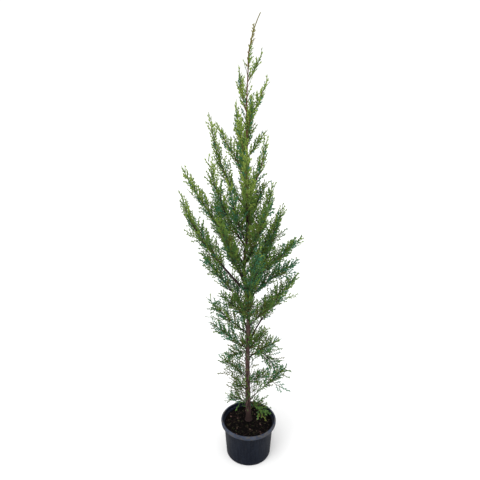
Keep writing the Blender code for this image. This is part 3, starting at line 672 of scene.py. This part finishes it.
BRANCH_PITCH = (0.0094, 0.0062, 0.0060)  # between branchings, by order of branching
BRANCH_SHARE = (0.32, 0.21, 0.36)  # longest side branch, as a share of its parent
BRANCH_ANGLE = (42, 50, 46)
TUFT_LEAST, TUFT_MOST = 0.0074, 0.0150  # a spray of this length is one toothed tuft
TUFT_END = 0.0120  # length of the tuft that ends an axis
LEAFY_WIDTH = 0.0034
AXIS_WIDTH = (1.25, 0.95, 0.85)  # of a leafy axis by order of branching, as a share of that
LEAFY_THICKNESS = 0.30  # share of its width
TEETH = ((0.14, 1), (0.32, -1), (0.50, 1), (0.66, -1))  # how far along a tuft, and on which side
TOOTH_LENGTH = 0.42  # share of the tuft's length, for its first tooth
TOOTH_WIDTH = 0.0044
TOOTH_LEAST = 0.0032
TOOTH_ANGLE = 42
WOODY_FROM = 0.045  # a longer spray has a woody foot
WOODY_SHARE = 0.50

BETWEEN_SEED, FAN_SEED, TWIST_SEED = SEED + 700, SEED + 500, SEED + 900

Dress = namedtuple("Dress", "inner outer")
Cast = namedtuple("Cast", "lighter bluer")
PLAIN = Cast(0.0, 0.0)
CASTS = {  # limbs that stand out from the rest by their colour
    "low_left_inner": Cast(0.10, -0.30),
    "low_right_hanging": Cast(-0.30, -0.40),
    "left_skirt": Cast(-0.20, 0.45),
    "left_skirt_upper": Cast(0.05, 0.10),
    "left_fork": Cast(0.00, 0.20),
    "left_hollow": Cast(-0.05, -0.35),
    "right_hollow": Cast(0.05, -0.35),
    "right_inner": Cast(0.05, -0.40),
    "right_arm": Cast(-0.10, 0.20),
    "right_outer": Cast(-0.05, 0.05),
    "right_second": Cast(-0.05, 0.20),
    "front_low": Cast(-0.10, -0.30),
    "front_frond": Cast(0.00, 0.30),
    "front_left": Cast(-0.15, -0.25),
    "front_right": Cast(-0.15, -0.10),
    "front_inner": Cast(-0.10, 0.25),
    "front_upper": Cast(0.15, -0.20),
    "front_top": Cast(0.12, -0.20),
}
TINTS = {
    "olive": (0.088, 0.102, 0.020),
    "deep": (0.036, 0.080, 0.026),
    "leaf": (0.070, 0.142, 0.030),
    "fresh": (0.128, 0.205, 0.034),
    "lime": (0.215, 0.300, 0.058),
    "blue": (0.044, 0.150, 0.074),
    "bronze": (0.165, 0.150, 0.030),
}


def crown_share(height):
    """How long the shoots are at a height, as a share of those in the lower crown."""
    high = min(1.0, max(0.0, (height - SHORTENS_FROM) / (TOP - SHORTENS_FROM)))
    return 1.0 - (1.0 - TOP_SHARE) * high


def plume_share(share):
    """How long the shoots are along a stem: they swell to their longest and dwindle to the tip."""
    if share < LONGEST_AT:
        return FIRST_SHARE + (1.0 - FIRST_SHARE) * share / LONGEST_AT
    return 1.0 - (1.0 - LAST_SHARE) * (share - LONGEST_AT) / (1.0 - LONGEST_AT)


def shoots_along(limb, points, index, density, vigour_least, loose=0.0):
    """Each main shoot's root, direction, the normal of its flat spray and its length.

    loose is how far they hang out of line: 0 on a vigorous limb, 1 on a shaded one by the pot.
    """
    rule = random.Random(SEED + index)
    leafy = line_length(points) - limb.bare
    pitch = SHOOT_PITCH * crown_share(points[-1].z) ** 0.5
    count = round(density * max(SHOOTS_LEAST, round(leafy / pitch)))
    longest = SHOOT_LONGEST * min(1.0, 0.35 + leafy / 0.45)
    first_turn = rule.uniform(0, 360)
    for number in range(count):
        turn = math.radians(first_turn + number * TURN + rule.uniform(-20, 20))
        spread = rule.uniform(-9, 9)
        vigour = rule.uniform(vigour_least, 1.1)
        roll = math.radians(rule.uniform(-40, 40))
        share = (number + 0.4) / count
        root, along = place_on(points, limb.bare + leafy * share)
        lean = LEAN_LOW + (LEAN_TOP - LEAN_LOW) * root.z / TOP + spread + LOOSE_LEAN * loose
        across = along.cross(Vector((0, 0, 1))).normalized()
        out = Matrix.Rotation(turn, 3, along) @ across
        lean = math.radians(lean)
        direction = along * math.cos(lean) + out * math.sin(lean)
        direction = (direction + Vector((0, 0, LIFT * (1 - LOOSE_FALL * loose)))).normalized()
        side = UPPER_SHARE if out.z > 0.2 else 1.0
        length = longest * crown_share(root.z) * plume_share(share) * vigour * side
        length = max(SHOOT_SHORTEST, length)
        normal = Matrix.Rotation(roll, 3, direction) @ direction.cross(along).normalized()
        yield root, direction, normal, length


def fan_normal(along, twist):
    """The way a limb's flat fan faces, square to the limb and turned round it by the twist."""
    facing = (FACE - along * FACE.dot(along)).normalized()
    return Matrix.Rotation(math.radians(twist), 3, along) @ facing


def fan_along(limb, points, index, twist):
    """The lesser sprays of a limb, in two ranks like a fern's: where they go and which rank."""
    rule = random.Random(FAN_SEED + index)
    bare = limb.bare * (0.5 if limb.bare < BOUGH_MINIMUM else 1.0)
    leafy = line_length(points) - bare
    thick = 1.0 + THICK_MORE * math.exp(-(((points[-1].z - THICK_AT) / THICK_DEPTH) ** 2))
    count = round(thick * FAN_END * leafy / FAN_PITCH)
    longest = FAN_LONGEST * min(1.0, 0.55 + leafy / 0.45)
    for number in range(count):
        share = FAN_END * (number + rule.uniform(0.2, 0.8)) / count
        root, along = place_on(points, bare + leafy * share)
        normal = fan_normal(along, twist + rule.gauss(0, 16))
        rank = number % 6
        out = normal.cross(along) * (1 if rank % 2 else -1)
        lean = math.radians(LEAN_LOW + (LEAN_TOP - LEAN_LOW) * root.z / TOP + rule.uniform(-5, 5))
        if rank > 3:
            out = (out * rule.uniform(-0.8, 0.8) + normal * (1 if rank == 5 else -1)).normalized()
            lean = math.radians(CLOSE_LEAN + rule.uniform(-6, 6))
        direction = along * math.cos(lean) + out * math.sin(lean)
        direction = (direction + Vector((0, 0, LIFT))).normalized()
        normal = (normal - direction * normal.dot(direction)).normalized()
        normal = Matrix.Rotation(rule.gauss(0, 0.25), 3, direction) @ normal
        length = longest * crown_share(root.z) * plume_share(share) * rule.uniform(0.65, 1.1)
        if rank > 3:
            length *= FAN_CLOSE
        else:
            length *= FAN_ABOVE if out.z > 0 else FAN_BELOW
        yield root, direction, normal, max(FAN_SHORTEST, length), out.z > 0


def no_room(place):
    """True in the compost or the container's wall, and past the crown's furthest tips."""
    low, high = solid_box
    if any(place[i] < low[i] - PAST_TIPS or place[i] > high[i] + PAST_TIPS for i in range(2)):
        return True
    away = math.hypot(place.x, place.y)
    if away < RIM_RADIUS + CLEARANCE and place.z < SOIL_TOP + CLEARANCE:
        return True
    return abs(away - RIM_RADIUS + 0.5 * RIM_LIP) < RIM_LIP and place.z < POT_HEIGHT + CLEARANCE


leafy_rows = {tint: [] for tint in TINTS}
tuft_rows = {tint: [] for tint in TINTS}
twig_rows = []
grow = random.Random(29)


def grow_spray(point, heading, flat, length, order, dress, ripeness):
    """A leafy axis from a point, with shorter sprays on alternate sides, down to toothed tufts.

    ripeness is how far out in its whole spray the axis starts: 0 at the foot, 1 at the tip.
    """
    if length < TUFT_MOST:
        if not no_room(point + heading * length):
            tint = dress.outer if ripeness + grow.uniform(0.0, 0.35) > 0.55 else dress.inner
            tuft_rows[tint].append((*point, *(point + heading * length), *flat, LEAFY_WIDTH))
        return
    steps = round(length / BRANCH_PITCH[order])
    step = length / steps
    side = grow.choice((-1, 1))
    woody_to = WOODY_SHARE * length if order == 0 and length > WOODY_FROM else 0.0
    across = flat.cross(heading).normalized()
    curve = across * grow.uniform(-0.035, 0.035) + flat * grow.uniform(-0.04, 0.04)
    curve += Vector((0, 0, 0.030 if order == 0 else 0.012))
    for i in range(steps):
        share = (i + 0.5) / steps
        heading = (heading + curve).normalized()
        after = point + heading * step
        if no_room(after):
            return
        age = ripeness + (1 - ripeness) * share
        if share * length < woody_to:
            girth = 0.0006 + 0.0068 * (1 - share) * length
            twig_rows.append((*point, *(after + heading * step * 0.2), girth))
        else:
            tint = dress.outer if age + grow.uniform(-0.12, 0.12) > 0.55 else dress.inner
            width = LEAFY_WIDTH * (AXIS_WIDTH[order] - 0.25 * share)
            leafy_rows[tint].append((*point, *(after + heading * step * 0.1), *flat, width))
        if i > 0.08 * steps:
            swell = min(1.0, 0.55 + share * 1.8) * (1.0 - share) ** 0.75
            reach = BRANCH_SHARE[order] * length * swell * grow.uniform(0.8, 1.15)
            angle = math.radians(BRANCH_ANGLE[order] + grow.uniform(-7, 7) - 8 * share)
            across = flat.cross(heading).normalized()
            branch = heading * math.cos(angle) + across * side * math.sin(angle)
            branch = (branch + flat * grow.gauss(0, 0.28 if order == 0 else 0.13)).normalized()
            tilted = (flat - branch * flat.dot(branch)).normalized()
            next_order = min(order + 1, 2)
            grow_spray(after, branch, tilted, max(TUFT_LEAST, reach), next_order, dress, age)
            side = -side
        point = after
    grow_spray(point, heading, flat, TUFT_END, 2, dress, 1.0)


def outwardness(root):
    """How far out a spray grows: 0 at the trunk and 1 at the edge of the crown."""
    return min(1.0, (root - trunk_at(min(root.z, TRUNK_TOP))).xy.length / CROWN_RADIUS)


def dress_of(root, outward, above, cast=PLAIN):
    """The two tints of a spray: by its height, how far out it is, and over or under its limb."""
    high = (root.z - 0.30) / 1.5
    # light is partly the leaves' own colour, yellower higher and further out, and partly painted
    # light and shade
    light = high * 1.25 + outward * 0.40 - 0.32 + cast.lighter + grow.uniform(-0.34, 0.34)
    light -= 0.20 * math.exp(-(((high - 0.52) / 0.16) ** 2))  # painted shade where the crown is thickest
    shaded = 0.38 * outward * max(0.0, 1.0 - high / 0.55)  # painted shade: the low outer tips are more often blue-green
    if grow.random() < (0.14 if above else 0.54) - 0.14 * high + shaded + cast.bluer:
        if light > 0.6:
            return Dress("leaf", "blue")
        return Dress("olive" if light < 0.25 and grow.random() < 0.5 else "deep", "blue")
    if light > 0.75:
        return Dress("fresh", "lime")
    if light > 0.40:
        return Dress("leaf", "fresh")
    if light > 0.10:
        return Dress("olive", "fresh") if grow.random() < 0.4 else Dress("deep", "leaf")
    if grow.random() < 0.5:
        return Dress("olive", "olive" if grow.random() < 0.5 else "leaf")
    return Dress("deep", "leaf")


def grow_leader(points):
    """The leading shoot: sheathed in scale leaves, with ever smaller sprays and a naked tip."""
    total = line_length(points)
    for number in range(LEADER_STEPS):
        share = number / LEADER_STEPS
        here, along = place_on(points, total * share)
        there, _ = place_on(points, total * (share + 1.3 / LEADER_STEPS))
        flat = (FACE - along * FACE.dot(along)).normalized()
        width = 0.0056 - 0.0022 * share
        leafy_rows["bronze"].append((*here, *there, *flat, width))
        leafy_rows["bronze"].append((*here, *there, *flat.cross(along), width * 0.8))
        side = 1 if number % 4 == 0 else -1
        reach = LEADER_SPRAY * (1.0 - 0.85 * share) * grow.uniform(0.75, 1.2)
        reach *= 0.5 if side > 0 else 1.0
        if share > LEADER_LEAFY:
            continue
        angle = math.radians(44 - 18 * share)
        turn = math.radians((0, 55, -55)[number % 3])
        across = flat.cross(along) * math.cos(turn) + flat * math.sin(turn)
        branch = (along * math.cos(angle) + across * side * math.sin(angle)).normalized()
        tilted = (flat - branch * flat.dot(branch)).normalized()
        end = here + branch * max(0.0050, reach)
        tint = "bronze" if share > 0.35 or number % 4 == 0 else "fresh"
        tuft_rows[tint].append((*here, *end, *tilted, LEAFY_WIDTH * 0.9))
    fork, along = place_on(points, total * LEADER_FORK)
    flat = (FACE - along * FACE.dot(along)).normalized()
    second = (along + flat.cross(along) * 0.13).normalized()
    grow_spray(fork, second, flat, FORK_LENGTH, 2, Dress("bronze", "bronze"), 0.5)


TRUNK_SPRAYS = (  # from and to these heights, how many, and the length of the longest
    (0.22, 0.40, 28, 0.125),
    (0.40, 0.62, 26, 0.088),
    (0.62, 0.80, 12, 0.070),
    (0.80, 1.15, 60, 0.085),
    (1.15, 1.46, 36, 0.055),
    (1.46, TRUNK_TOP, 40, 0.040),
)
budding = random.Random(SEED)
for low, high, count, longest in TRUNK_SPRAYS:
    for number in range(count):
        height = low + (high - low) * (number + budding.random()) / count
        compass = math.radians(number * TURN + budding.uniform(-25, 25))
        out = Vector((math.cos(compass), math.sin(compass), 0.0))
        if height > BARE_FRONT and out.dot(FACE) > 0.35:
            continue
        lean = math.radians(budding.uniform(24, 42) + FLARING_LEAN * (height < FLARING_BELOW))
        heading = Vector((0, 0, math.cos(lean))) + out * math.sin(lean)
        flat = Matrix.Rotation(budding.uniform(-1.2, 1.2), 3, heading) @ out.cross(heading)
        root = trunk_at(height) + out * trunk_radius(height) * 0.7
        length = longest * budding.uniform(0.45, 1.1)
        grow_spray(root, heading, flat.normalized(), length, 0, dress_of(root, -0.2, True), 0.0)

twists = random.Random(TWIST_SEED)
for index, (limb, points) in enumerate(limb_lines):
    total = line_length(points)
    strayed = [point + wander(point) * min(1.0, i / 6) for i, point in enumerate(points)]
    twist = twists.uniform(-FAN_TWIST, FAN_TWIST)
    cast = CASTS.get(limb.name, PLAIN)
    if limb is LEADER:
        grow_leader(strayed)
        continue
    shoots = [*shoots_along(limb, strayed, index, 1.0, 0.75)]
    between = BETWEEN * crown_share(strayed[-1].z) ** 2 * min(1.0, 0.35 + total / 0.35)
    loose = min(1.0, max(0.0, (LOOSE_BELOW - limb.height) / LOOSE_DEPTH))
    shoots += shoots_along(limb, strayed, BETWEEN_SEED - SEED + index, between, 0.40, loose)
    for root, direction, normal, length in shoots:
        outward = outwardness(root)
        grow_spray(root, direction, normal, length, 0, dress_of(root, outward, True, cast), 0.0)
    for root, direction, normal, length, above in fan_along(limb, strayed, index, twist):
        outward = outwardness(root)
        grow_spray(root, direction, normal, length, 1, dress_of(root, outward, above, cast), 0.0)
    tip, along = place_on(strayed, total * (1 - TIP_SHARE))
    facing = fan_normal(along, twist)
    grow_spray(tip, along, facing, total * TIP_SHARE, 0, dress_of(tip, 1.0, True, cast), 0.5)


def closed_rods(start, end, across, up, widths, point_from=None):
    """Corners and faces of three-sided rods, which taper to a point past a share point_from."""
    rings = []
    stops = ((start, widths[0]), (end, widths[1]))
    if point_from:
        stops = ((start, widths[0]), (start + (end - start) * point_from, widths[1]))
    for middle, width in stops:
        rings += [middle - across * width * 0.5, middle + across * width * 0.5, middle + up * width]
    sides = [(0, 1, 4), (0, 4, 3), (1, 2, 5), (1, 5, 4), (2, 0, 3), (2, 3, 5), (0, 2, 1)]
    if point_from:
        rings.append(end)
        sides += [(3, 4, 6), (4, 5, 6), (5, 3, 6)]
    else:
        sides.append((3, 4, 5))
    corners = np.stack(rings, axis=1).reshape(-1, 3)
    faces = np.array(sides)[None] + len(rings) * np.arange(len(start))[:, None, None]
    return corners, faces.reshape(-1, 3)


def joined_mesh(name, parts):
    corners = np.concatenate([part[0] for part in parts])
    before = np.cumsum([0] + [len(part[0]) for part in parts[:-1]])
    faces = np.concatenate([part[1] + first for part, first in zip(parts, before)])
    mesh = bpy.data.meshes.new(name)
    mesh.from_pydata(corners, [], faces)
    return mesh


def leafy_mesh(name, axes, tufts):
    """Leafy axes as flat rods and tufts that end in a point, with teeth along both their sides."""
    parts = []
    for rows, pointed in ((axes, None), (tufts, 0.6)):
        if not rows:
            continue
        table = np.array(rows)
        start, end, flat, width = table[:, 0:3], table[:, 3:6], table[:, 6:9], table[:, 9:10]
        along = end - start
        length = np.linalg.norm(along, axis=1, keepdims=True)
        forward = along / length
        across = np.cross(flat, forward)
        across /= np.linalg.norm(across, axis=1, keepdims=True)
        up = flat * LEAFY_THICKNESS
        if not pointed:
            parts.append(closed_rods(start, end, across, up, (width, width * 0.9)))
            continue
        parts.append(closed_rods(start, end, across, up, (width * 0.75, width), pointed))
        angle = math.radians(TOOTH_ANGLE)
        teeth = []
        for share, side in TEETH:
            root = start + along * share + up * width * 0.4
            reach = np.maximum(TOOTH_LEAST, TOOTH_LENGTH * length * (1.15 - share))
            tip = root + (forward * math.cos(angle) + across * side * math.sin(angle)) * reach
            pair = (root, root + forward * TOOTH_WIDTH)
            teeth += [*(pair if side < 0 else reversed(pair)), tip]
        corners = np.stack(teeth, axis=1).reshape(-1, 3)
        parts.append((corners, np.arange(len(corners)).reshape(-1, 3)))
    return joined_mesh(name, parts)


def twig_mesh(name, rows):
    """Closed three-sided rods, one to a row: start, end and radius."""
    table = np.array(rows)
    start, end, width = table[:, 0:3], table[:, 3:6], 1.8 * table[:, 6:7]
    along = (end - start) / np.linalg.norm(end - start, axis=1, keepdims=True)
    across = np.cross(along, (0.31, 0.17, 0.93))
    across /= np.linalg.norm(across, axis=1, keepdims=True)
    up = 0.87 * np.cross(along, across)
    return joined_mesh(name, [closed_rods(start, end, across, up, (width, width * 0.85))])


def add_foliage(mesh, look):
    """A piece of sprays or twigs, which helps to stand for all the masses of foliage."""
    masses = [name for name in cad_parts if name.startswith("foliage_")]
    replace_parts(add_mesh(mesh, look), *masses)


MOST_TRIANGLES = 190000  # in one piece
AXIS_TRIANGLES, TUFT_TRIANGLES = 8, 14
for tint, colour in TINTS.items():
    look, shader, place = new_finish("scale_leaves_" + tint, 0.6, specular=0.12)
    speckle = place.grain(900, detail=2.0)
    darker = tuple(0.82 * part for part in colour)
    lighter = tuple(min(1.0, 1.18 * part) for part in colour)
    paint(shader, speckle.mix((*darker, 1), (*lighter, 1)), relief=speckle, depth=0.0004)
    axes, tufts = leafy_rows[tint], tuft_rows[tint]
    triangles = AXIS_TRIANGLES * len(axes) + TUFT_TRIANGLES * len(tufts)
    batches = math.ceil(triangles / MOST_TRIANGLES)
    for batch in range(batches):
        name = f"sprays_{tint}_{batch + 1}"
        add_foliage(leafy_mesh(name, axes[batch::batches], tufts[batch::batches]), look)
barks = ((0.035, 0.022, 0.015), (0.085, 0.052, 0.035), (0.10, 0.09, 0.05), (0.125, 0.085, 0.035))
twig_bark = new_bark("twig_bark", *barks)
add_foliage(twig_mesh("twigs", twig_rows), twig_bark)


# ---------------------------------------------------------------- the floor, the light, the camera
# A wide pale floor under a white studio sky, with one large soft lamp high at the left and
# a weaker one at the right.
FLOOR_SIZE = 30.0
SKY_STRENGTH = 1.1
LENS, SENSOR_WIDTH = 32.25, 36.0
CAMERA_PLACE = (-0.0405, -1.725, 1.572)
CAMERA_DIP = 16.4  # degrees below the level

floor_shape = bmesh.new()
bmesh.ops.create_grid(floor_shape, x_segments=1, y_segments=1, size=FLOOR_SIZE)
floor_mesh = bpy.data.meshes.new("floor")
floor_shape.to_mesh(floor_mesh)
floor_shape.free()
floor = bpy.data.objects.new("floor", floor_mesh)
floor_look, floor_shader, place = new_finish("pale_floor", 0.9, specular=0.1)
paint(floor_shader, place.grain(3.0).mix((0.70, 0.70, 0.70, 1), (0.74, 0.74, 0.74, 1)))
floor_mesh.materials.append(floor_look)
bpy.context.scene.collection.objects.link(floor)

world = bpy.data.worlds.new("studio")
world.use_nodes = True
sky = world.node_tree.nodes["Background"]
sky.inputs["Color"].default_value = (1.0, 1.0, 1.0, 1.0)
sky.inputs["Strength"].default_value = SKY_STRENGTH
bpy.context.scene.world = world

Lamp = namedtuple("Lamp", "name power spread tilt turn")
for lamp in (Lamp("key", 2.0, 45, 34, -35), Lamp("fill", 0.6, 60, 50, 50)):
    light = bpy.data.lights.new(lamp.name, "SUN")
    light.energy = lamp.power
    light.angle = math.radians(lamp.spread)
    hung = bpy.data.objects.new(lamp.name, light)
    hung.rotation_euler = (math.radians(lamp.tilt), 0.0, math.radians(lamp.turn))
    bpy.context.scene.collection.objects.link(hung)

camera_data = bpy.data.cameras.new("camera")
camera_data.sensor_width = SENSOR_WIDTH
camera_data.lens = LENS
camera = bpy.data.objects.new("camera", camera_data)
camera.location = CAMERA_PLACE
camera.rotation_euler = (math.radians(90 - CAMERA_DIP), 0.0, 0.0)
bpy.context.scene.collection.objects.link(camera)
bpy.context.scene.camera = camera
bpy.context.scene.view_settings.view_transform = "Standard"
